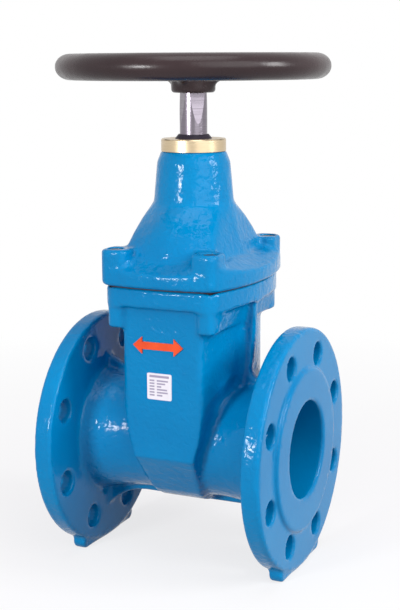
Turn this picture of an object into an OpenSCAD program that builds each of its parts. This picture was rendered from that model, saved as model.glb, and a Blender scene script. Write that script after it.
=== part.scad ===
// Non-rising stem gate valve, DN 80, flanged ends, resilient wedge, handwheel.
// Origin: on the floor, under the middle of the body. +X runs along the pipe, +Z is up.
// The wedge is drawn raised, so the bore is clear.

/* [Ends] */
// Nominal bore of the pipe
bore_d = 80; // [60:1:100]
// Length over the two raised faces
face_to_face = 203; // [165:1:250]
// Outside diameter of the end flanges
flange_d = 200; // [185:1:245]
// Thickness of an end flange behind its raised face
flange_t = 16; // [12:0.5:24]
// Chamfer on both edges of a flange's rim
flange_chamfer = 1.6; // [0.5:0.1:3]
// Diameter of the raised sealing face
raised_face_d = 136; // [118:1:138]
// Height of the raised sealing face
raised_face_h = 3; // [1:0.5:4]
// Circle the flange bolts stand on
bolt_circle_d = 160; // [150:1:180]
// Diameter of each flange bolt hole
bolt_hole_d = 19; // [14:0.5:23]
// Number of bolt holes in each flange
bolt_count = 8; // [4:4:12]

/* [Body casting] */
// Wall of the pipe between flange and chamber
pipe_wall = 7; // [5:0.5:12]
// Wall of the gate chamber
chamber_wall = 7.5; // [5:0.5:12]
// How far the walls on the flange sides bulge at the middle
chamber_bow = 10; // [4:1:12]
// Thickness of the ribs in the middle plane
rib_t = 8; // [5:0.5:12]
// Width of the flat foot under each flange
foot_w = 90; // [60:1:120]
// Length of the foot along the pipe
foot_t = 11.5; // [6:0.5:14]
// How far the foot reaches below the flange rim
foot_drop = 1; // [0.5:0.5:6]

/* [Bonnet] */
// Thickness of the flange at the top of the body
body_plate_t = 15.5; // [10:0.5:22]
// Thickness of the gasket
gasket_t = 1; // [0.5:0.1:3]
// Thickness of the bonnet flange
bonnet_plate_t = 11.5; // [8:0.5:18]
// Height of the dome over the bonnet flange
dome_h = 50; // [40:1:65]
// Height of the round neck over the dome
neck_h = 42; // [32:1:55]
// Neck diameter at the dome
neck_d = 66; // [58:1:76]
// How far the long sides of the bonnet joint reach out past the chamber
joint_side = 18; // [15:0.5:22]
// How far the short ends of the bonnet joint reach out past the chamber
joint_end = 13; // [11:0.5:18]
// Corner radius of the bonnet joint
joint_corner_r = 17; // [14:0.5:20]
// Thread size of the bonnet screws
bonnet_screw_d = 8; // [6:0.5:10]

/* [Stem and gland] */
// Diameter of the plain part of the stem
stem_d = 22.4; // [18:0.1:27]
// Diameter of the brass collar
gland_d = 53; // [46:0.5:58]
// Height of the brass collar that shows
gland_h = 10; // [6:0.5:14]
// Height from the gland to the underside of the wheel hub
stem_free_h = 36.7; // [28:0.1:50]

/* [Handwheel] */
// Outside diameter of the handwheel
wheel_d = 222; // [180:1:270]
// Width of the rim section
rim_w = 24; // [16:0.5:30]
// Height of the rim section
rim_h = 20.8; // [14:0.2:26]
// Diameter of the wheel hub
hub_d = 36; // [34:0.5:46]
// Height of the wheel hub
hub_h = 22.5; // [16:0.5:28]
// Number of arms
arm_count = 4; // [3:1:5]

/* [Fits] */
// Radial clearance of running and located fits
run_fit = 0.05; // [0.02:0.01:0.1]
// Clearance of the wedge and of its guides
guide_gap = 0.5; // [0.3:0.1:1]

/* [Hidden] */
$fn = 96;

blue = [0.02, 0.50, 0.76];
iron = [0.20, 0.18, 0.17];
steel = [0.78, 0.78, 0.78];
brass = [0.72, 0.60, 0.38];
black = [0.05, 0.05, 0.05];
white = [0.93, 0.93, 0.92];
orange = [0.93, 0.42, 0.10];

bore_r = bore_d / 2;
axis_z = flange_d / 2 + foot_drop;
rf_x = face_to_face / 2;
fl_x = rf_x - raised_face_h;
rf_chamfer = raised_face_h * 0.4;
back_x = fl_x - flange_t;
pipe_r = bore_r + pipe_wall;
flare_r = (bolt_circle_d - bolt_hole_d) / 2 - 15.5;
flare_l = back_x - 30;

// wedge, in its closed place
wedge_r = bore_r + 4;
wedge_hy = bore_r + 6;
tongue_hy = wedge_hy + 7.5;
tongue_hx = 8.5;
wedge_hx = 21;
wedge_foot_hx = 15;
wedge_wide_z = bore_r + 5;
wedge_top_z = bore_r + 30;
travel = bore_d + 5;

// gate chamber
cav_hx = wedge_hx + 6;
cav_hy = wedge_hy + 3;
groove_hy = tongue_hy + guide_gap;
cham_hx = cav_hx + chamber_wall;
cham_hy = groove_hy + chamber_wall + 1;

// joint between body and bonnet
part_z = wedge_wide_z + travel + 7;
body_top = part_z - gasket_t / 2;
bonnet_bot = part_z + gasket_t / 2;
mid_hx = cham_hx + chamber_bow;
side_bow_r = (cham_hy * cham_hy + chamber_bow * chamber_bow) / (2 * chamber_bow);
end_bow_r = 240;
joint_hx = mid_hx + joint_side;
joint_hy = cham_hy + joint_end;
screw_x = cham_hx + 6.5;
screw_y = cham_hy - 2;
lobe_bot = body_top - 33.5;
plate_top = bonnet_bot + bonnet_plate_t;
boss_top = plate_top + 17.5;
head_seat = plate_top + 2;
screw_r = bonnet_screw_d / 2;
head_r = bonnet_screw_d * 0.8;
pocket_r = head_r + 0.5;
dome_top = plate_top + dome_h;
neck_r = neck_d / 2;
neck_top = dome_top + neck_h;

// stem and gland
stem_r = stem_d / 2;
thread_r = stem_r - 0.45;
collar_r = stem_r + 5.8;
shelf_z = dome_top + 5;
collar_h = 8;
gland_r = gland_d / 2;
spigot_r = collar_r + 0.45;
gland_top = neck_top + gland_h;
hub_bot = gland_top + stem_free_h;
hub_top = hub_bot + hub_h;
stem_top = hub_top - 1;
stem_bot = bore_r + 8;
flat_start = gland_top + 12;
flat_top_d = stem_r - 3.8;
flat_tilt = atan2(stem_r - flat_top_d, stem_top - flat_start);

// wheel
rim_r = wheel_d / 2 - rim_w / 2;
rim_z = hub_bot + 20.9;
arm_hub_z = hub_top - 7;
hub_r = hub_d / 2;

function arc(cx, cy, r, a0, a1, n) = [for (i = [0:n]) let (a = a0 + (a1 - a0) * i / n)
    [cx + r * cos(a), cy + r * sin(a)]];

module at_axis() { translate([0, 0, axis_z]) children(); }

// A plate with rounded upright corners: half sizes hx and hy, corner r, from z0 up to z1.
module slab(hx, hy, r, z0, z1) {
    translate([0, 0, z0]) linear_extrude(z1 - z0) rounded(hx, hy, r);
}

module rounded(hx, hy, r) {
    square([2 * hx - 2 * r, 2 * hy], center = true);
    square([2 * hx, 2 * hy - 2 * r], center = true);
    for (sx = [-1, 1], sy = [-1, 1]) translate([sx * (hx - r), sy * (hy - r)]) circle(r);
}

// One quarter of a plan outline: side bowed to radius bs, end bowed to radius be, corner r.
function quarter(hx, hy, bs, be, r) = let (
    c1 = [hx - bs, 0],
    c2 = [0, hy - be],
    r1 = bs - r,
    r2 = be - r,
    d = norm(c2 - c1),
    u = (c2 - c1) / d,
    a = (r1 * r1 - r2 * r2 + d * d) / (2 * d),
    h = sqrt(r1 * r1 - a * a),
    c = c1 + a * u + h * [-u[1], u[0]],
    a1 = atan2(c[1], c[0] - c1[0]),
    a2 = atan2(c[1] - c2[1], c[0])
) concat(arc(c1[0], 0, bs, 0, a1, 7), arc(c[0], c[1], r, a1, a2, 6), arc(0, c2[1], be, a2, 90, 3));

// A slab with that outline, drawn in by g, from z0 up to z1.
module bowed_slab(hx, hy, r, g, z0, z1) {
    q = quarter(hx - g, hy - g, side_bow_r - g, end_bow_r - g, r - g);
    n = len(q) - 1;
    translate([0, 0, z0]) linear_extrude(z1 - z0) polygon(concat(
        [for (i = [0:n]) q[i]],
        [for (i = [n - 1:-1:0]) [-q[i][0], q[i][1]]],
        [for (i = [1:n]) [-q[i][0], -q[i][1]]],
        [for (i = [n - 1:-1:1]) [q[i][0], -q[i][1]]]));
}

module joint_slab(g, z0, z1) { bowed_slab(joint_hx, joint_hy, joint_corner_r, g, z0, z1); }

// A profile drawn in the XZ plane, extruded along Y to half width h.
module along_y(h) { rotate([90, 0, 0]) translate([0, 0, -h]) linear_extrude(2 * h) children(); }

// A profile drawn in the YZ plane, extruded along X to half width h.
module along_x(h) {
    rotate([90, 0, 90]) translate([0, 0, -h]) linear_extrude(2 * h) children();
}

module x_cyl(r, x0, x1) { translate([x0, 0, 0]) rotate([0, 90, 0]) cylinder(r = r, h = x1 - x0); }

module corners(dx, dy) {
    for (sx = [-1, 1], sy = [-1, 1]) translate([sx * dx, sy * dy, 0]) children();
}

// U outline of the wedge and its seat, in YZ: round below the axis, straight above.
module u_shape(r, hy, z1) {
    circle(r);
    translate([-r, 0]) square([2 * r, 1]);
    polygon([[-r, 0], [r, 0], [hy, 12], [hy, z1], [-hy, z1], [-hy, 12]]);
}

module flange_end() {
    c = flange_chamfer;
    difference() {
        union() {
            x_cyl(flange_d / 2, back_x + c, fl_x - c);
            translate([back_x, 0, 0]) rotate([0, 90, 0])
                cylinder(r1 = flange_d / 2 - c, r2 = flange_d / 2, h = c);
            translate([fl_x - c, 0, 0]) rotate([0, 90, 0])
                cylinder(r1 = flange_d / 2, r2 = flange_d / 2 - c, h = c);
            x_cyl(raised_face_d / 2, back_x, rf_x - rf_chamfer);
            translate([rf_x - rf_chamfer, 0, 0]) rotate([0, 90, 0])
                cylinder(r1 = raised_face_d / 2, r2 = raised_face_d / 2 - rf_chamfer, h = rf_chamfer);
            foot();
        }
        for (i = [0:bolt_count - 1])
            rotate([(i + 0.5) * 360 / bolt_count, 0, 0])
                translate([0, bolt_circle_d / 2, 0]) x_cyl(bolt_hole_d / 2, back_x - 1, rf_x + 1);
    }
}

module foot() {
    w = foot_w / 2;
    translate([back_x + 2.5 + foot_t / 2, 0, -axis_z]) along_x(foot_t / 2)
        polygon(concat([[-w + 12, 42]], arc(-w + 7, 7, 7, 180, 270, 8),
                       arc(w - 7, 7, 7, 270, 360, 8), [[w - 12, 42]]));
}

// Pipe, widening evenly towards the two flanges.
module pipe_skin() {
    f = flare_r - pipe_r;
    rotate([0, 90, 0]) rotate_extrude()
        polygon(concat([[0, -back_x - 1], [flare_r, -back_x - 1]],
            [for (i = [0:8]) let (t = i / 8) [pipe_r + f * (1 - t) * (1 - t), -back_x + flare_l * t]],
            [for (i = [8:-1:0]) let (t = i / 8) [pipe_r + f * (1 - t) * (1 - t), back_x - flare_l * t]],
            [[flare_r, back_x + 1], [0, back_x + 1]]));
}

// Ribs in the middle plane: under the pipe, and from each flange up the chamber to its top flange.
module ribs() {
    lo = pipe_r + 7;
    top = body_top - body_plate_t + 1;
    w = mid_hx + 11;
    along_y(rib_t / 2) union() {
        for (s = [0, 1]) mirror([s, 0])
            polygon(concat([[0, 0], [0, -lo], [back_x - 36, -lo]],
                [for (i = [0:8]) let (t = i / 8) [back_x - 36 + 37 * t, -lo - 17.5 * t * t]],
                [[back_x + 1, 0]]));
        for (s = [0, 1]) mirror([s, 0])
            polygon([[0, 0], [0, top], [w + 0.5, top], [w, top - 14], [w - 0.5, pipe_r + 45],
                [w - 2, pipe_r + 26], [w - 3.6, pipe_r + 17], [w - 3.4, pipe_r + 14],
                [w - 1.6, pipe_r + 11.2], [w + 1.5, pipe_r + 9.2], [w + 6.5, pipe_r + 9],
                [w + 13, pipe_r + 10.7], [back_x - 7.5, pipe_r + 13.9],
                [back_x + 1, pipe_r + 17.6], [back_x + 1, 0]]);
    }
}

// Outer shape of the gate chamber: upright corners rounded, faces drawn in below the axis.
module chamber_skin() {
    h = cham_hy;
    w = cham_hx;
    top = body_top - 2;
    bot = -pipe_r - 3;
    knee = bot + 12;
    end = concat([[h, top], [h, -3.5], [h - 22, knee + 5]],
        [for (i = [0:6]) let (t = i / 6) [h - 26 - 28 * t, knee - 12 * (1 - (1 - t) * (1 - t))]]);
    n = len(end) - 1;
    intersection() {
        bowed_slab(mid_hx, h + 2, 6, 0, bot, top);
        along_x(mid_hx + 1) polygon(concat(end, [for (i = [n:-1:0]) [-end[i][0], end[i][1]]]));
        along_y(h + 1) polygon([[-w + 14.5, bot], [w - 14.5, bot], [w - 7.7, -4], [w - 2.2, bore_r - 24],
            [w + 1.5, bore_r + 2], [mid_hx - 1.8, bore_r + 20], [mid_hx - 0.5, bore_r + 38],
            [mid_hx + 0.5, bore_r + 55], [mid_hx + 0.5, top], [-mid_hx - 0.5, top],
            [-mid_hx - 0.5, bore_r + 55], [-mid_hx + 0.5, bore_r + 38], [-mid_hx + 1.8, bore_r + 20],
            [-w - 1.5, bore_r + 2], [-w + 2.2, bore_r - 24], [-w + 7.7, -4]]);
    }
}

module chamber_hollow() {
    z0 = wedge_foot_hx + guide_gap;
    intersection() {
        along_x(cham_hx) u_shape(wedge_r + guide_gap + 0.5, cav_hy, body_top + 1);
        along_y(cham_hy) polygon([[-z0, -wedge_r - 2], [z0, -wedge_r - 2],
            [wedge_hx + guide_gap, wedge_wide_z], [cav_hx, wedge_wide_z + 8],
            [cav_hx, body_top + 1], [-cav_hx, body_top + 1], [-cav_hx, wedge_wide_z + 8],
            [-wedge_hx - guide_gap, wedge_wide_z]]);
    }
    intersection() {
        bowed_slab(mid_hx - chamber_wall, cav_hy, 12, 0, wedge_wide_z, body_top + 1);
        along_y(cham_hy) polygon([[0, wedge_wide_z + 2], [cav_hx - 1, wedge_wide_z + 8],
            [mid_hx - chamber_wall - 3, bore_r + 32], [mid_hx - chamber_wall, bore_r + 50],
            [mid_hx - chamber_wall, body_top + 1], [-mid_hx + chamber_wall, body_top + 1],
            [-mid_hx + chamber_wall, bore_r + 50], [-mid_hx + chamber_wall + 3, bore_r + 32],
            [-cav_hx + 1, wedge_wide_z + 8]]);
    }
    slab(tongue_hx + guide_gap, groove_hy, 2, -2, body_top + 1);
}

// Thickened band under the top flange, on the flange side of the chamber.
module side_pad() {
    x = cham_hx;
    z = lobe_bot;
    along_y(cham_hy - 6) polygon([[x - 6, z - 6], [x - 0.5, z - 6], [x + 8, z - 0.5], [x + 11.5, z + 0.5],
        [x + 15.5, z + 20], [x - 6, z + 20]]);
}

module valve_body() {
    color(blue) at_axis() difference() {
        union() {
            flange_end();
            mirror([1, 0, 0]) flange_end();
            pipe_skin();
            ribs();
            chamber_skin();
            joint_slab(3.5, body_top - body_plate_t, body_top);
            corners(screw_x - 1.7, screw_y - 2)
                slab(8, 8.7, 6, lobe_bot, body_top - body_plate_t + 2);
            for (s = [0, 1]) mirror([s, 0, 0]) side_pad();
        }
        x_cyl(bore_r, -rf_x - 1, rf_x + 1);
        chamber_hollow();
        corners(screw_x, screw_y)
            translate([0, 0, lobe_bot + 5]) cylinder(r = screw_r + run_fit, h = 60);
    }
}

module bonnet_gasket() {
    color(black) at_axis() difference() {
        joint_slab(4.3, body_top, bonnet_bot);
        bowed_slab(mid_hx - chamber_wall, cav_hy, 12, 0, body_top - 1, bonnet_bot + 1);
        slab(tongue_hx + guide_gap, groove_hy, 2, body_top - 1, bonnet_bot + 1);
        corners(screw_x, screw_y)
            translate([0, 0, body_top - 1]) cylinder(r = screw_r + 0.4, h = gasket_t + 2);
    }
}

// Plan of the dome at height z over the bonnet flange: sides at hx, bulging at the middle, corners
// of radius r that end at cy, and ends bowed out to hy.
module dome_plan(z, hx, cy, hy, r, bulge = 0) {
    c = hx - r;
    s = hy - cy;
    bow_r = (c * c + s * s) / (2 * s);
    translate([0, 0, plate_top + z - 0.05]) linear_extrude(0.1) {
        rounded(hx, cy, r, $fn = 32);
        for (m = [0, 1]) mirror([m, 0]) translate([hx + bulge - r, 0]) circle(r, $fn = 32);
        for (m = [0, 1]) mirror([0, m]) intersection() {
            translate([0, hy - bow_r]) circle(bow_r);
            translate([-c, 0]) square([2 * c, hy + 1]);
        }
    }
}

module dome_skin() {
    hull() {
        dome_plan(-1, cham_hx + 7.5, cham_hy - 5, cham_hy + 1, 12, 3);
        dome_plan(11, cham_hx + 5.8, cham_hy - 9, cham_hy - 1, 10, 3);
        dome_plan(21, cham_hx + 3.8, cham_hy - 14, cham_hy - 4, 9, 2.5);
        dome_plan(28, cham_hx + 2.3, cham_hy - 19.5, cham_hy - 7.5, 9, 1.7);
        dome_plan(38, cham_hx + 0.3, cham_hy - 29, cham_hy - 15, 10, 0.5);
        dome_plan(44, neck_r + 1.3, cham_hy - 37.5, cham_hy - 21, 14);
        translate([0, 0, dome_top - 1]) cylinder(r = neck_r + 1.2, h = 0.1);
    }
}

// Sloping ledge between the edge of the bonnet flange and the foot of the dome.
module ledge() {
    h = joint_hy - 0.5;
    w = joint_hx - 0.5;
    intersection() {
        joint_slab(0.5, plate_top - 2, plate_top + 9);
        along_x(w + 1) polygon([[-h, plate_top - 2], [h, plate_top - 2], [h, plate_top], [h - 15, plate_top + 9],
            [-h + 15, plate_top + 9], [-h, plate_top]]);
        along_y(h + 1) polygon([[-w, plate_top - 2], [w, plate_top - 2], [w, plate_top], [w - 16, plate_top + 9],
            [-w + 16, plate_top + 9], [-w, plate_top]]);
    }
}

module bonnet() {
    color(blue) at_axis() difference() {
        union() {
            joint_slab(0, bonnet_bot, plate_top);
            ledge();
            corners(screw_x - 1.9, screw_y - 1.8)
                slab(11.6, 13, 7.5, bonnet_bot + 3, boss_top);
            dome_skin();
            translate([0, 0, dome_top - 10]) cylinder(r = neck_r, h = 10);
            translate([0, 0, dome_top]) cylinder(r1 = neck_r, r2 = neck_r - 3, h = neck_h - 9);
            translate([0, 0, neck_top - 9]) cylinder(r1 = neck_r - 3, r2 = gland_r, h = 9);
        }
        bowed_slab(mid_hx - chamber_wall, cav_hy + 2, 12, 0, bonnet_bot - 1, bonnet_bot + 14);
        slab(cav_hx - 3, cav_hy - 9, 12, bonnet_bot + 12, bonnet_bot + 28);
        slab(cav_hx - 6, cav_hy - 19, 12, bonnet_bot + 26, bonnet_bot + 40);
        translate([0, 0, bonnet_bot]) cylinder(r = stem_r + 0.4, h = shelf_z - bonnet_bot + 1);
        translate([0, 0, shelf_z]) cylinder(r = spigot_r + run_fit, h = neck_top - shelf_z + 1);
        corners(screw_x, screw_y) {
            translate([0, 0, bonnet_bot - 1]) cylinder(r = screw_r + 0.4, h = 20);
            translate([0, 0, head_seat]) cylinder(r = pocket_r, h = 40);
        }
    }
}

// Socket head screw, thread down, in one corner.
module bonnet_screw(sx, sy) {
    color(steel) at_axis() translate([sx * screw_x, sy * screw_y, 0]) difference() {
        union() {
            translate([0, 0, lobe_bot + 8]) cylinder(r = screw_r, h = head_seat - lobe_bot - 8);
            translate([0, 0, head_seat]) cylinder(r = head_r, h = bonnet_screw_d);
        }
        translate([0, 0, head_seat + bonnet_screw_d * 0.4])
            cylinder(r = bonnet_screw_d * 0.46, h = bonnet_screw_d, $fn = 6);
    }
}

// Plug over a screw head.
module screw_seal(sx, sy) {
    color(black) at_axis() translate([sx * screw_x, sy * screw_y, head_seat + bonnet_screw_d]) {
        cylinder(r = pocket_r - run_fit, h = boss_top - head_seat - bonnet_screw_d - 2);
        translate([0, 0, boss_top - head_seat - bonnet_screw_d - 2])
            cylinder(r1 = pocket_r - run_fit, r2 = pocket_r - 2, h = 1);
    }
}

module gland_bush() {
    color(brass) at_axis() difference() {
        union() {
            translate([0, 0, shelf_z + collar_h + 0.6])
                cylinder(r = spigot_r, h = gland_top - shelf_z - collar_h - 0.6);
            translate([0, 0, neck_top]) cylinder(r = gland_r, h = gland_h - 0.8);
            translate([0, 0, gland_top - 0.8]) cylinder(r1 = gland_r, r2 = gland_r - 0.8, h = 0.8);
        }
        translate([0, 0, shelf_z]) cylinder(r = stem_r + run_fit, h = gland_top);
    }
}

module wiper_ring() {
    color(black) at_axis() difference() {
        translate([0, 0, gland_top]) cylinder(r1 = stem_r + 4, r2 = stem_r + 1.2, h = 3.4);
        translate([0, 0, gland_top - 1]) cylinder(r = stem_r + run_fit, h = 5);
    }
}

// What is left of a round bar of radius r after the four tapered flats are cut, set out by gap.
module taper_bar(r, gap, z0, z1) {
    difference() {
        translate([0, 0, z0]) cylinder(r = r, h = z1 - z0);
        for (a = [0:90:270]) rotate([0, 0, a + 45])
            translate([stem_r + gap, 0, flat_start]) rotate([0, -flat_tilt, 0])
                translate([0, -30, 0]) cube([30, 60, 120]);
    }
}

module stem() {
    color(steel) at_axis() difference() {
        union() {
            taper_bar(stem_r, 0, shelf_z + 1, stem_top);
            translate([0, 0, shelf_z + 0.3]) cylinder(r = collar_r, h = collar_h);
            translate([0, 0, shelf_z - 8]) cylinder(r = stem_r, h = 10);
            translate([0, 0, stem_bot + 2]) cylinder(r = thread_r, h = shelf_z - stem_bot - 8);
            translate([0, 0, stem_bot]) cylinder(r1 = thread_r - 2, r2 = thread_r, h = 2);
        }
        translate([0, 0, stem_top - 22]) cylinder(r = 5 + run_fit, h = 23);
    }
}

module handwheel() {
    a = rim_w / 2;
    b = rim_h / 2;
    reach = rim_r - hub_r + 3;
    rise = atan2(rim_z - arm_hub_z, reach);
    color(iron) at_axis() difference() {
        union() {
            translate([0, 0, rim_z]) rotate_extrude()
                polygon([for (i = [0:39]) let (t = 9 * i)
                    [rim_r + a * cos(t), b * sin(t)]]);
            translate([0, 0, hub_bot + 1.5]) cylinder(r = hub_r, h = hub_h - 2.5);
            translate([0, 0, hub_bot]) cylinder(r1 = hub_r - 1.5, r2 = hub_r, h = 1.5);
            translate([0, 0, hub_top - 1]) cylinder(r1 = hub_r, r2 = hub_r - 1, h = 1);
            for (i = [0:arm_count - 1]) rotate([0, 0, i * 360 / arm_count])
                translate([hub_r - 3, 0, arm_hub_z]) rotate([0, 90 - rise, 0])
                    cylinder(r1 = 6.8, r2 = 5.6, h = reach);
        }
        taper_bar(stem_r + run_fit, run_fit, hub_bot - 1, hub_top + 8);
    }
}

module wheel_washer() {
    color(steel) at_axis() difference() {
        translate([0, 0, hub_top]) cylinder(r = stem_r + 2.6, h = 2.4);
        translate([0, 0, hub_top - 1]) cylinder(r = 5.3, h = 5);
    }
}

module wheel_screw() {
    color(steel) at_axis() union() {
        translate([0, 0, stem_top - 19]) cylinder(r = 5, h = 1 + 2.4 + 19);
        translate([0, 0, hub_top + 2.4]) cylinder(r = 9.2, h = 5.6, $fn = 6);
    }
}

// Wedge with its guide tongues, pocket for the nut and way for the stem, raised by the travel.
module wedge() {
    top = wedge_top_z;
    color(black) translate([0, 0, axis_z + travel]) difference() {
        union() {
            intersection() {
                along_x(wedge_hx + 1) union() {
                    u_shape(wedge_r, wedge_hy, wedge_wide_z);
                    polygon([[-wedge_hy, wedge_wide_z - 1], [wedge_hy, wedge_wide_z - 1],
                        [wedge_hy, wedge_wide_z], [26, top], [-26, top],
                        [-wedge_hy, wedge_wide_z]]);
                }
                along_y(wedge_hy + 1) polygon([[-wedge_foot_hx, -wedge_r],
                    [wedge_foot_hx, -wedge_r], [wedge_hx, wedge_wide_z], [19, top], [-19, top],
                    [-wedge_hx, wedge_wide_z]]);
            }
            slab(tongue_hx, tongue_hy, 1.5, 4, wedge_wide_z);
        }
        translate([0, 0, -wedge_r - 1]) cylinder(r = thread_r + 2, h = top + wedge_r + 2);
        translate([-14 - run_fit, -17 - run_fit, top - 24]) cube([28 + 2 * run_fit, 34 + 2 * run_fit, 40]);
    }
}

module wedge_nut() {
    color(brass) translate([0, 0, axis_z + travel + wedge_top_z - 24]) difference() {
        translate([-14, -17, 0]) cube([28, 34, 22]);
        translate([0, 0, -1]) cylinder(r = thread_r + 0.3, h = 30);
    }
}

// Small raised plate on the front of the chamber.
module label_plate() {
    color(white) at_axis() translate([-2.2, -cham_hy, 57]) rotate([90, 0, 0])
        linear_extrude(0.5) rounded(10.8, 10.8, 1.2);
}

// Plain two-way flow bar on the front of the chamber.
module flow_mark() {
    color(orange) at_axis() translate([-3, -cham_hy, 90]) rotate([90, 0, 0])
        linear_extrude(1.2) polygon([[-22, 0], [-14, 7], [-14, 3], [14, 3], [14, 7],
            [22, 0], [14, -7], [14, -3], [-14, -3], [-14, -7]]);
}

valve_body();
bonnet_gasket();
bonnet();
bonnet_screw(-1, -1);  // bonnet_screw_1
bonnet_screw(1, -1);  // bonnet_screw_2
bonnet_screw(1, 1);  // bonnet_screw_3
bonnet_screw(-1, 1);  // bonnet_screw_4
screw_seal(-1, -1);  // screw_seal_1
screw_seal(1, -1);  // screw_seal_2
screw_seal(1, 1);  // screw_seal_3
screw_seal(-1, 1);  // screw_seal_4
gland_bush();
wiper_ring();
stem();
handwheel();
wheel_washer();
wheel_screw();
wedge();
wedge_nut();
label_plate();
flow_mark();
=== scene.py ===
import math
import bpy
import numpy as np
import openvdb as vdb
from mathutils import Matrix


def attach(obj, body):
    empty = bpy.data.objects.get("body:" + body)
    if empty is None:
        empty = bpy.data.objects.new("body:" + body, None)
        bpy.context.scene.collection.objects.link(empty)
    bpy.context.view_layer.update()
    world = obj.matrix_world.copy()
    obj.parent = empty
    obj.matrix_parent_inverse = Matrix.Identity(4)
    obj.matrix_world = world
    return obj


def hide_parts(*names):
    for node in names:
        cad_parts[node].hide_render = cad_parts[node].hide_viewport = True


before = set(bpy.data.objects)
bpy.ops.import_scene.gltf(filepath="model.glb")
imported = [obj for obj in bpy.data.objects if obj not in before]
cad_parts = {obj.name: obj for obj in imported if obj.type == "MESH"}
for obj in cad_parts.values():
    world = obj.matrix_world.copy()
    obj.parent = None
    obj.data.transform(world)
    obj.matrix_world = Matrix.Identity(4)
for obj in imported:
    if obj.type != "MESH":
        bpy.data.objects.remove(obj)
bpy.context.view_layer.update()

MM = 0.001
AXIS_Z = 101.0        # height of the pipe's axis, mm
RIB_FILLET = 2.5      # inner corners beside ribs and flanges, mm
PLUG = 0.4            # how far a pocket's filling reaches into the metal round it, mm
DRILL = 10.0          # how far a pocket is drilled past its top, mm


def add(name, data):
    """A new object in the scene."""
    o = bpy.data.objects.new(name, data)
    bpy.context.scene.collection.objects.link(o)
    return o


def placed(x, y, z, p):
    """The matrix with the axes x, y and z and the origin p."""
    return Matrix([(x[k], y[k], z[k], p[k]) for k in range(3)] + [(0, 0, 0, 1)])


# ---------------------------------------------------------------- castings
# The castings are worked out in millimetres, as signed distances that are negative in the metal.

def arrays(node):
    """Vertices in mm and triangles of a CAD node."""
    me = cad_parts[node].data
    v = np.empty(len(me.vertices) * 3, np.float32)
    me.vertices.foreach_get("co", v)
    me.calc_loop_triangles()
    t = np.empty(len(me.loop_triangles) * 3, np.int32)
    me.loop_triangles.foreach_get("vertices", t)
    return v.reshape(-1, 3) * 1000.0, t.reshape(-1, 3).astype(np.uint32)


class Field:
    """Signed distances to a closed surface, on a dense grid of step h."""

    def __init__(self, lo, hi, h, band):
        self.h, self.band = h, band
        self.i0 = np.floor(np.array(lo) / h).astype(int) - band - 2
        self.n = np.ceil(np.array(hi) / h).astype(int) + band + 3 - self.i0

    def read(self, pts, **faces):
        """The distances to a mesh."""
        tr = vdb.createLinearTransform(voxelSize=self.h)
        g = vdb.FloatGrid.createLevelSetFromPolygons(pts.astype(np.float32), transform=tr,
                                                     halfWidth=self.band, **faces)
        a = np.empty(tuple(self.n), np.float32)
        g.copyToArray(a, ijk=tuple(int(i) for i in self.i0))
        return a

    def grid(self, a):
        """The array as an openvdb grid."""
        g = vdb.FloatGrid(float(self.h * self.band))
        g.copyFromArray(a, ijk=tuple(int(i) for i in self.i0))
        g.transform = vdb.createLinearTransform(voxelSize=self.h)
        return g

    def rolled(self, a, r):
        """The surface after a ball of radius r has rolled over it: inner corners are filled for
        r above zero, outer ones worn for r below zero."""
        p, q = self.grid(a).convertToQuads(float(r))
        return self.read(p, quads=q) + np.float32(r)

    def axes(self):
        """The grid's coordinates, ready to broadcast."""
        x, y, z = [(self.i0[k] + np.arange(self.n[k])) * self.h for k in range(3)]
        return x[:, None, None], y[None, :, None], z[None, None, :]

    def sample(self, a, pts):
        """The array at any points, by linear interpolation."""
        f = pts / self.h - self.i0
        i = np.clip(np.floor(f).astype(int), 0, self.n - 2)
        w = (f - i).astype(np.float32)
        out = np.zeros(len(pts), np.float32)
        for dx in (0, 1):
            for dy in (0, 1):
                for dz in (0, 1):
                    c = ((w[:, 0] if dx else 1 - w[:, 0]) * (w[:, 1] if dy else 1 - w[:, 1])
                         * (w[:, 2] if dz else 1 - w[:, 2]))
                    out += c * a[i[:, 0] + dx, i[:, 1] + dy, i[:, 2] + dz]
        return out

    def normals(self, a, pts):
        """The outward directions at points on the surface."""
        g = np.zeros((len(pts), 3), np.float32)
        for k in range(3):
            e = np.zeros(3)
            e[k] = 0.5 * self.h
            g[:, k] = self.sample(a, pts + e) - self.sample(a, pts - e)
        return g / np.maximum(np.linalg.norm(g, axis=1, keepdims=True), 1e-9)


def upright(x, y, z, cx, cy, r, z0, z1):
    """Distances to an upright round bar at cx, cy, from z0 to z1."""
    return np.maximum(np.hypot(x - cx, y - cy) - r, np.maximum(z0 - z, z - z1))


def cut(a, b, r):
    """Solid a with solid b taken out, the rim between them rounded to r."""
    u, v = np.maximum(a + r, 0), np.maximum(r - b, 0)
    return np.minimum(-r, np.maximum(a, -b)) + np.hypot(u, v)


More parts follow.
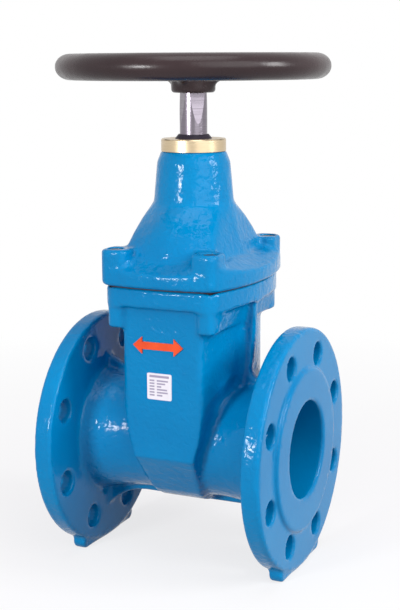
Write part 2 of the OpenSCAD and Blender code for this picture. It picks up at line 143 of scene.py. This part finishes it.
def casting(name, node, mat, h, fill, edge, keep, crisp=None, tight=None, relief=None,
            pockets=(), lip=0.0, adapt=0.012):
    """A node's solid as a casting, on a grid of step h: inner corners filled to radius fill, outer
    edges worn to radius edge. Each of these is asked with x, y and z:
    keep    where the CAD surface stays as it is
    crisp   where inner corners aren't filled
    tight   1 where inner corners are filled to RIB_FILLET only, 0 elsewhere
    relief  how much is taken off the kept surface
    The pockets (x, y, radius, bottom and top) are full while the balls roll and are drilled after,
    with rims rounded to lip."""
    v, t = arrays(node)
    lo, hi = v.min(0), v.max(0)
    f = Field(lo, hi, h, int(math.ceil(fill / h)) + 3)
    raw = f.read(v, triangles=t)
    x, y, z = f.axes()
    for cx, cy, r, z0, z1 in pockets:
        plug = upright(x, y, z, cx, cy, r + PLUG, z0 - PLUG, z1)
        raw = np.minimum(raw, np.maximum(plug, -fill))
    a = f.rolled(raw, fill)
    if tight is not None:
        a = a + tight(x, y, z) * (f.rolled(raw, RIB_FILLET) - a)
    if crisp is not None:
        a = np.where(crisp(x, y, z), raw, a)
    a = f.rolled(a, -edge)
    a = np.where(keep(x, y, z), raw if relief is None else raw + relief(x, y, z), a)
    for cx, cy, r, z0, z1 in pockets:
        a = cut(a, upright(x, y, z, cx, cy, r, z0, z1 + DRILL), lip)
    for k, c in enumerate((x, y, z)):
        a = np.maximum(a, np.maximum(c - hi[k], lo[k] - c))

    p, tri, quad = f.grid(a.astype(np.float32)).convertToPolygons(0.0, adapt)
    n = f.normals(a, p)
    p = np.clip(p, lo, hi)
    faces = [list(map(int, r)) for r in tri] + [list(map(int, r)) for r in quad]
    c = faces[len(tri)]
    if np.dot(np.cross(p[c[1]] - p[c[0]], p[c[2]] - p[c[0]]), n[c[0]]) < 0:
        faces = [r[::-1] for r in faces]
    me = bpy.data.meshes.new(name)
    me.from_pydata([tuple(r) for r in p * MM], [], faces)
    me.validate(verbose=False)
    me.polygons.foreach_set("use_smooth", [True] * len(me.polygons))
    me.normals_split_custom_set_from_vertices([tuple(r) for r in n])
    me.materials.append(mat)
    o = add(name, me)
    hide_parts(node)
    print(name, len(tri) + 2 * len(quad), "triangles")
    return o


# ---------------------------------------------------------------- material parts

def material(name, colour, roughness, metallic=0.0, specular=0.5):
    """A principled material, its node tree and its shader."""
    m = bpy.data.materials.new(name)
    m.use_nodes = True
    nt = m.node_tree
    b = nt.nodes["Principled BSDF"]
    b.inputs["Base Color"].default_value = (*colour, 1.0)
    b.inputs["Roughness"].default_value = roughness
    b.inputs["Metallic"].default_value = metallic
    b.inputs["Specular IOR Level"].default_value = specular
    return m, nt, b


def coords(nt, scale=(1, 1, 1)):
    """Object coordinates in metres, stretched by scale."""
    tc = nt.nodes.new("ShaderNodeTexCoord")
    mp = nt.nodes.new("ShaderNodeMapping")
    mp.inputs["Scale"].default_value = scale
    nt.links.new(tc.outputs["Object"], mp.inputs["Vector"])
    return mp.outputs["Vector"]


def split(nt):
    """Object coordinates in metres, as x, y and z."""
    tc = nt.nodes.new("ShaderNodeTexCoord")
    sep = nt.nodes.new("ShaderNodeSeparateXYZ")
    nt.links.new(tc.outputs["Object"], sep.inputs[0])
    return sep.outputs


def noise(nt, vec, scale, detail=2.0, rough=0.5, warp=0.0):
    n = nt.nodes.new("ShaderNodeTexNoise")
    n.inputs["Scale"].default_value = scale
    n.inputs["Detail"].default_value = detail
    n.inputs["Roughness"].default_value = rough
    n.inputs["Distortion"].default_value = warp
    nt.links.new(vec, n.inputs["Vector"])
    return n.outputs["Fac"]


def vary(nt, socket, fac, low, high, lo=0.3, hi=0.7):
    """Takes a socket from low to high, a number or a colour each, as fac goes from lo to hi."""
    r = nt.nodes.new("ShaderNodeValToRGB")
    for el, pos, val in zip(r.color_ramp.elements, (lo, hi), (low, high)):
        el.position = pos
        el.color = (val, val, val, 1.0) if isinstance(val, float) else (*val, 1.0)
    nt.links.new(fac, r.inputs["Fac"])
    nt.links.new(r.outputs["Color"], socket)


def bump(nt, fac, strength, distance, normal=None):
    """A bump of a height in metres. Its strength is a number or a socket."""
    b = nt.nodes.new("ShaderNodeBump")
    if isinstance(strength, float):
        b.inputs["Strength"].default_value = strength
    else:
        nt.links.new(strength, b.inputs["Strength"])
    b.inputs["Distance"].default_value = distance
    nt.links.new(fac, b.inputs["Height"])
    if normal is not None:
        nt.links.new(normal, b.inputs["Normal"])
    return b.outputs["Normal"]


def calc(nt, kind, a, b=0.0):
    """A maths node. Each operand is a number or a socket."""
    m = nt.nodes.new("ShaderNodeMath")
    m.operation = kind
    for i, v in enumerate((a, b)):
        if isinstance(v, (int, float)):
            m.inputs[i].default_value = v
        else:
            nt.links.new(v, m.inputs[i])
    return m.outputs[0]


def inside(nt, f, lo, hi):
    """1 where f is between lo and hi, 0 elsewhere."""
    return calc(nt, 'MULTIPLY', calc(nt, 'GREATER_THAN', f, lo), calc(nt, 'LESS_THAN', f, hi))


# ---------------------------------------------------------------- materials

FACE_X = 0.080        # the flange faces lie further out than this, m
FACE_R = 0.0965       # and inside this radius
BORE_R = 0.0415       # the bore, with a little over


def machined(nt):
    """1 on the flange faces inside their rims and in the bore, 0 on the cast skin."""
    x, y, z = split(nt)
    z = calc(nt, 'SUBTRACT', z, AXIS_Z * MM)
    r = calc(nt, 'SQRT', calc(nt, 'ADD', calc(nt, 'MULTIPLY', y, y), calc(nt, 'MULTIPLY', z, z)))
    face = calc(nt, 'MULTIPLY', calc(nt, 'GREATER_THAN', calc(nt, 'ABSOLUTE', x), FACE_X),
                calc(nt, 'LESS_THAN', r, FACE_R))
    return calc(nt, 'MAXIMUM', face, calc(nt, 'LESS_THAN', r, BORE_R))


def paint():
    """Thick blue epoxy that follows a sand-cast skin, nearly flat where the metal is machined."""
    m, nt, b = material("epoxy_paint", (0.0, 0.215, 0.46), 0.14, specular=0.14)
    v = coords(nt)
    vary(nt, b.inputs["Base Color"], noise(nt, v, 11.0, 4.0, 0.6), (0.0, 0.187, 0.425), (0.0, 0.228, 0.49))
    vary(nt, b.inputs["Roughness"], noise(nt, v, 120.0, 3.0), 0.09, 0.18, lo=0.35)
    skin = calc(nt, 'SUBTRACT', 1.0, calc(nt, 'MULTIPLY', machined(nt), 0.85))
    waves = bump(nt, noise(nt, v, 42.0, 2.0), calc(nt, 'MULTIPLY', skin, 0.5), 0.0018)
    grains = bump(nt, noise(nt, v, 190.0, 1.0, 0.5, 0.6), skin, 0.0006, waves)
    nt.links.new(grains, b.inputs["Normal"])
    return m


def wheel_coat():
    """Dark brown coating on the hand wheel."""
    m, nt, b = material("wheel_coat", (0.030, 0.015, 0.017), 0.25, specular=0.28)
    v = coords(nt)
    vary(nt, b.inputs["Base Color"], noise(nt, v, 12.0, 3.0), (0.020, 0.011, 0.0125), (0.040, 0.023, 0.024),
         hi=0.75)
    vary(nt, b.inputs["Roughness"], noise(nt, v, 90.0, 2.0), 0.22, 0.33)
    waves = bump(nt, noise(nt, v, 38.0, 1.0), 0.3, 0.0011)
    nt.links.new(bump(nt, noise(nt, v, 320.0, 2.0), 0.3, 0.00018, waves), b.inputs["Normal"])
    return m


def turned(name, colour, dark, roughness):
    """Turned metal with fine rings round an upright axis."""
    m, nt, b = material(name, colour, roughness, 1.0)
    f = noise(nt, coords(nt, (6, 6, 900)), 1.0, 2.0)
    vary(nt, b.inputs["Base Color"], f, dark, colour)
    vary(nt, b.inputs["Roughness"], f, roughness * 1.3, roughness * 0.8)
    nt.links.new(bump(nt, f, 0.1, 0.00003), b.inputs["Normal"])
    return m


def rubber(name, colour, roughness):
    """Dull dark rubber or wax."""
    m, nt, b = material(name, colour, roughness, specular=0.3)
    v = coords(nt)
    vary(nt, b.inputs["Base Color"], noise(nt, v, 30.0, 3.0),
         tuple(c * 0.8 for c in colour), tuple(c * 1.3 for c in colour))
    nt.links.new(bump(nt, noise(nt, v, 500.0, 2.0), 0.2, 0.0001), b.inputs["Normal"])
    return m


LABEL_LEFT = -0.013   # the label's left side, its foot and its width and height, m
LABEL_FOOT = 0.1472
LABEL_SIDE = 0.0216
LABEL_ROWS = 9.0


def label_film():
    """White film with plain grey bars, standing for nothing."""
    m, nt, b = material("label_film", (0.78, 0.76, 0.79), 0.4, specular=0.3)
    x, y, z = split(nt)
    u = calc(nt, 'DIVIDE', calc(nt, 'SUBTRACT', x, LABEL_LEFT), LABEL_SIDE)
    w = calc(nt, 'DIVIDE', calc(nt, 'SUBTRACT', z, LABEL_FOOT), LABEL_SIDE)
    line = calc(nt, 'MULTIPLY', w, LABEL_ROWS)
    rows = calc(nt, 'MULTIPLY', inside(nt, calc(nt, 'FRACT', line), 0.25, 0.78), inside(nt, w, 0.12, 0.80))
    cell = nt.nodes.new("ShaderNodeTexWhiteNoise")
    cell.noise_dimensions = '1D'
    nt.links.new(calc(nt, 'FLOOR', line), cell.inputs["W"])
    end = calc(nt, 'ADD', calc(nt, 'MULTIPLY', cell.outputs["Value"], 0.30), 0.58)
    left = inside(nt, u, 0.10, 0.30)
    right = inside(nt, u, 0.40, end)
    bars = calc(nt, 'MULTIPLY', rows, calc(nt, 'MAXIMUM', left, right))
    head = calc(nt, 'MULTIPLY', inside(nt, w, 0.84, 0.93), inside(nt, u, 0.10, 0.90))
    mix = nt.nodes.new("ShaderNodeMix")
    mix.data_type = 'RGBA'
    nt.links.new(calc(nt, 'MAXIMUM', bars, head), mix.inputs["Factor"])
    vary(nt, mix.inputs["A"], noise(nt, coords(nt), 40.0, 2.0), (0.74, 0.72, 0.76), (0.82, 0.80, 0.82))
    mix.inputs["B"].default_value = (0.33, 0.30, 0.40, 1.0)
    nt.links.new(mix.outputs["Result"], b.inputs["Base Color"])
    nt.links.new(bump(nt, noise(nt, coords(nt), 70.0, 1.0), 0.3, 0.0003), b.inputs["Normal"])
    return m


def enamel():
    """Orange enamel of the flow mark."""
    m, nt, b = material("mark_enamel", (0.78, 0.07, 0.008), 0.35, specular=0.3)
    v = coords(nt)
    vary(nt, b.inputs["Base Color"], noise(nt, v, 60.0, 3.0), (0.68, 0.055, 0.006), (0.84, 0.085, 0.012))
    nt.links.new(bump(nt, noise(nt, v, 150.0, 2.0), 0.3, 0.0004), b.inputs["Normal"])
    return m


# ---------------------------------------------------------------- pieces

def bowed(y, half):
    """Half the width, at y, of a box whose long sides bow out."""
    return half - y * y / 400.0


def in_chamber(x, y, z):
    """The room for the wedge and the bore, to about the middle of the wall round them."""
    z = z - AXIS_Z
    w = np.interp(z, (-50, -45, -4, 16, 42, 60, 78, 95), (17.6, 18.2, 22.0, 25.4, 27.4, 33.5, 38.8, 40.8))
    w = np.minimum(w, bowed(y, 40.8))
    return (np.abs(x) < w) & (np.abs(y) < 55.2) & ((z > -3) | (y * y + z * z < 47.0 ** 2))


def seat_corner(x, y, z):
    """The room's lower corner is cut 0.6 mm deeper, so that the grid's rounding clears the wedge."""
    z = z - AXIS_Z
    return np.where((y * y + z * z > 42.0 ** 2) & (z < 5), 0.6, 0.0)


def in_dome(x, y, z):
    """The hollow of the bonnet, in three steps, and the way for the stem and the gland."""
    z = z - AXIS_Z
    low = (z < 153) & (np.abs(x) < bowed(y, 40.5)) & (np.abs(y) < 53.5)
    mid = (z < 167) & (np.abs(x) < 26) & (np.abs(y) < 42)
    top = (z < 179) & (np.abs(x) < 23) & (np.abs(y) < 32)
    rho = x * x + y * y
    return low | mid | top | (rho < 13.0 ** 2) | ((z > 202.5) & (rho < 19.0 ** 2))


def step(v, lo, hi):
    """0 below lo, 1 above hi, smooth between them."""
    t = np.clip((v - lo) / (hi - lo), 0, 1)
    return (t * t * (3 - 2 * t)).astype(np.float32)


def by_ribs(x, y, z):
    """Beside the flanges, under the pipe, along the upright ribs and under the top flange."""
    beside = step(np.abs(x), 64, 74)
    under = step(AXIS_Z - z, 34, 44)
    rib = step(np.abs(x), 44, 50) * (1 - step(np.abs(y), 10, 18))
    top = step(z - AXIS_Z, 94, 102)
    return np.maximum(np.maximum(beside, under), np.maximum(rib, top))


def corner_pockets(r, bottom, top):
    """A pocket at each bonnet screw. Bottom and top are counted from the pipe's axis."""
    return [(sx * 41.0, sy * 60.5, r, AXIS_Z + bottom, AXIS_Z + top) for sx in (-1, 1) for sy in (-1, 1)]


PAINT = paint()

body = casting("body_casting", "valve_body", PAINT, 1.1, 5.0, 1.5, in_chamber,
               crisp=lambda x, y, z: (np.abs(x) > 96.5) | (z > AXIS_Z + 134), tight=by_ribs,
               relief=seat_corner, pockets=corner_pockets(4.05, 108, 136.5), lip=0.3, adapt=0.02)
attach(body, "valve")
bonnet = casting("bonnet_casting", "bonnet", PAINT, 1.0, 3.0, 1.6, in_dome,
                 crisp=lambda x, y, z: z < AXIS_Z + 140,
                 pockets=corner_pockets(6.9, 151, 166.5), lip=0.7)
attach(bonnet, "valve")
wheel = casting("wheel_casting", "handwheel", wheel_coat(), 1.0, 6.0, 1.2,
                lambda x, y, z: x * x + y * y < 13.0 ** 2)
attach(wheel, "stem")

STEEL = turned("stem_steel", (0.25, 0.225, 0.265), (0.19, 0.168, 0.198), 0.22)
BRASS = turned("gland_brass", (0.64, 0.52, 0.35), (0.56, 0.44, 0.28), 0.3)
ZINC = turned("screw_zinc", (0.50, 0.49, 0.48), (0.38, 0.37, 0.36), 0.3)
# The bonnet screws are dark so that their shanks, seen through the slit between body and bonnet, read as
# painted shade in that gap.
SHADE_DARK_SCREW = turned("screw_dark_as_shade", (0.05, 0.045, 0.055), (0.03, 0.028, 0.034), 0.4)
BLACK = rubber("black_rubber", (0.012, 0.008, 0.017), 0.5)
WAX = rubber("seal_wax", (0.03, 0.03, 0.034), 0.45)
LOOK = {
    "bonnet_gasket": BLACK,
    "gland_bush": BRASS,
    "wiper_ring": BLACK,
    "stem": STEEL,
    "wheel_washer": ZINC,
    "wheel_screw": ZINC,
    "wedge": BLACK,
    "wedge_nut": BRASS,
    "label_plate": label_film(),
    "flow_mark": enamel(),
}
for i in range(1, 5):
    LOOK["bonnet_screw_%d" % i] = SHADE_DARK_SCREW
    LOOK["screw_seal_%d" % i] = WAX
for node, mat in LOOK.items():
    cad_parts[node].data.materials.clear()
    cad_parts[node].data.materials.append(mat)


# ---------------------------------------------------------------- stage

FLOOR_HALF = 8.0      # half the floor's side, m
NEAR, FAR = 0.15, 0.9     # the floor turns from its own tone to plain white between these, m
OWN_WHITE = 0.76      # how white it is seen under the valve, where its shadow shows


def seen(nt):
    """1 for what the camera sees, straight or in a reflection, 0 for light on its way."""
    lp = nt.nodes.new("ShaderNodeLightPath")
    return calc(nt, 'MAXIMUM', lp.outputs["Is Camera Ray"],
                calc(nt, 'MAXIMUM', lp.outputs["Is Glossy Ray"], lp.outputs["Is Transmission Ray"]))


def span(nt, value, lo, hi, to_lo, to_hi):
    """The value, taken from the range lo to hi into the range to_lo to to_hi."""
    r = nt.nodes.new("ShaderNodeMapRange")
    for k, v in (("From Min", lo), ("From Max", hi), ("To Min", to_lo), ("To Max", to_hi)):
        r.inputs[k].default_value = v
    nt.links.new(value, r.inputs["Value"])
    return r.outputs["Result"]


me = bpy.data.meshes.new("floor")
me.from_pydata([(sx * FLOOR_HALF, sy * FLOOR_HALF, 0) for sx, sy in ((-1, -1), (1, -1), (1, 1), (-1, 1))],
               [], [(0, 1, 2, 3)])
floor = add("floor", me)
pale, nt, b = material("floor_pale", (0.85, 0.85, 0.85), 0.9, specular=0.0)
vary(nt, b.inputs["Base Color"], seen(nt), (0.36, 0.35, 0.37), (0.85, 0.85, 0.85), 0.0, 1.0)
white = nt.nodes.new("ShaderNodeEmission")
mix = nt.nodes.new("ShaderNodeMixShader")
away = nt.nodes.new("ShaderNodeVectorMath")
away.operation = 'LENGTH'
nt.links.new(coords(nt), away.inputs[0])
tone = span(nt, away.outputs["Value"], NEAR, FAR, OWN_WHITE, 1.0)
nt.links.new(calc(nt, 'MULTIPLY', seen(nt), tone), mix.inputs["Fac"])
nt.links.new(b.outputs[0], mix.inputs[1])
nt.links.new(white.outputs[0], mix.inputs[2])
nt.links.new(mix.outputs[0], nt.nodes["Material Output"].inputs["Surface"])
me.materials.append(pale)

world = bpy.context.scene.world or bpy.data.worlds.new("world")
bpy.context.scene.world = world
world.use_nodes = True
nt = world.node_tree
bg = nt.nodes["Background"]
vary(nt, bg.inputs["Color"], seen(nt), (0.23, 0.19, 0.27), (1.0, 1.0, 1.0), 0.0, 1.0)
bg.inputs["Strength"].default_value = 1.0

LAMP_AWAY = 1.6                   # from each lamp to the point it faces, m
LAMP_FACES = (0, 0, 0.2)


def area(name, azimuth, elevation, width, height, power):
    """A softbox. Azimuth is counted from +X towards +Y, and both angles are in degrees."""
    d = bpy.data.lights.new(name, 'AREA')
    d.shape = 'RECTANGLE'
    d.size, d.size_y, d.energy = width, height, power
    a, e = math.radians(azimuth), math.radians(elevation)
    z = np.array([math.cos(e) * math.cos(a), math.cos(e) * math.sin(a), math.sin(e)])
    x = np.cross([0, 0, 1], z)
    x /= np.linalg.norm(x)
    add(name, d).matrix_world = placed(x, np.cross(z, x), z, np.array(LAMP_FACES) + z * LAMP_AWAY)


area("soft_left", -107, 10, 0.27, 0.34, 16)
area("soft_right", 3, 22, 0.4, 0.7, 16)
area("soft_front", -36, 26, 1.3, 1.3, 13)
area("soft_top", -65, 78, 1.0, 1.0, 8)


# ---------------------------------------------------------------- camera

EYE = (0.4405, -0.945, 0.4132)
AHEAD = np.array([-0.4127, 0.8916, -0.1864])
ROLL = math.radians(-0.31)

cam = bpy.data.cameras.new("camera")
cam.sensor_width = 36.0
cam.lens = 75.08
cam.shift_x, cam.shift_y = 0.0034, -0.0032
d = AHEAD / np.linalg.norm(AHEAD)
r = np.cross(d, [0, 0, 1])
r /= np.linalg.norm(r)
u = np.cross(r, d)
r, u = math.cos(ROLL) * r + math.sin(ROLL) * u, -math.sin(ROLL) * r + math.cos(ROLL) * u
eye = add("camera", cam)
eye.matrix_world = placed(r, u, -d, EYE)
bpy.context.scene.camera = eye
bpy.context.scene.view_settings.view_transform = 'Standard'
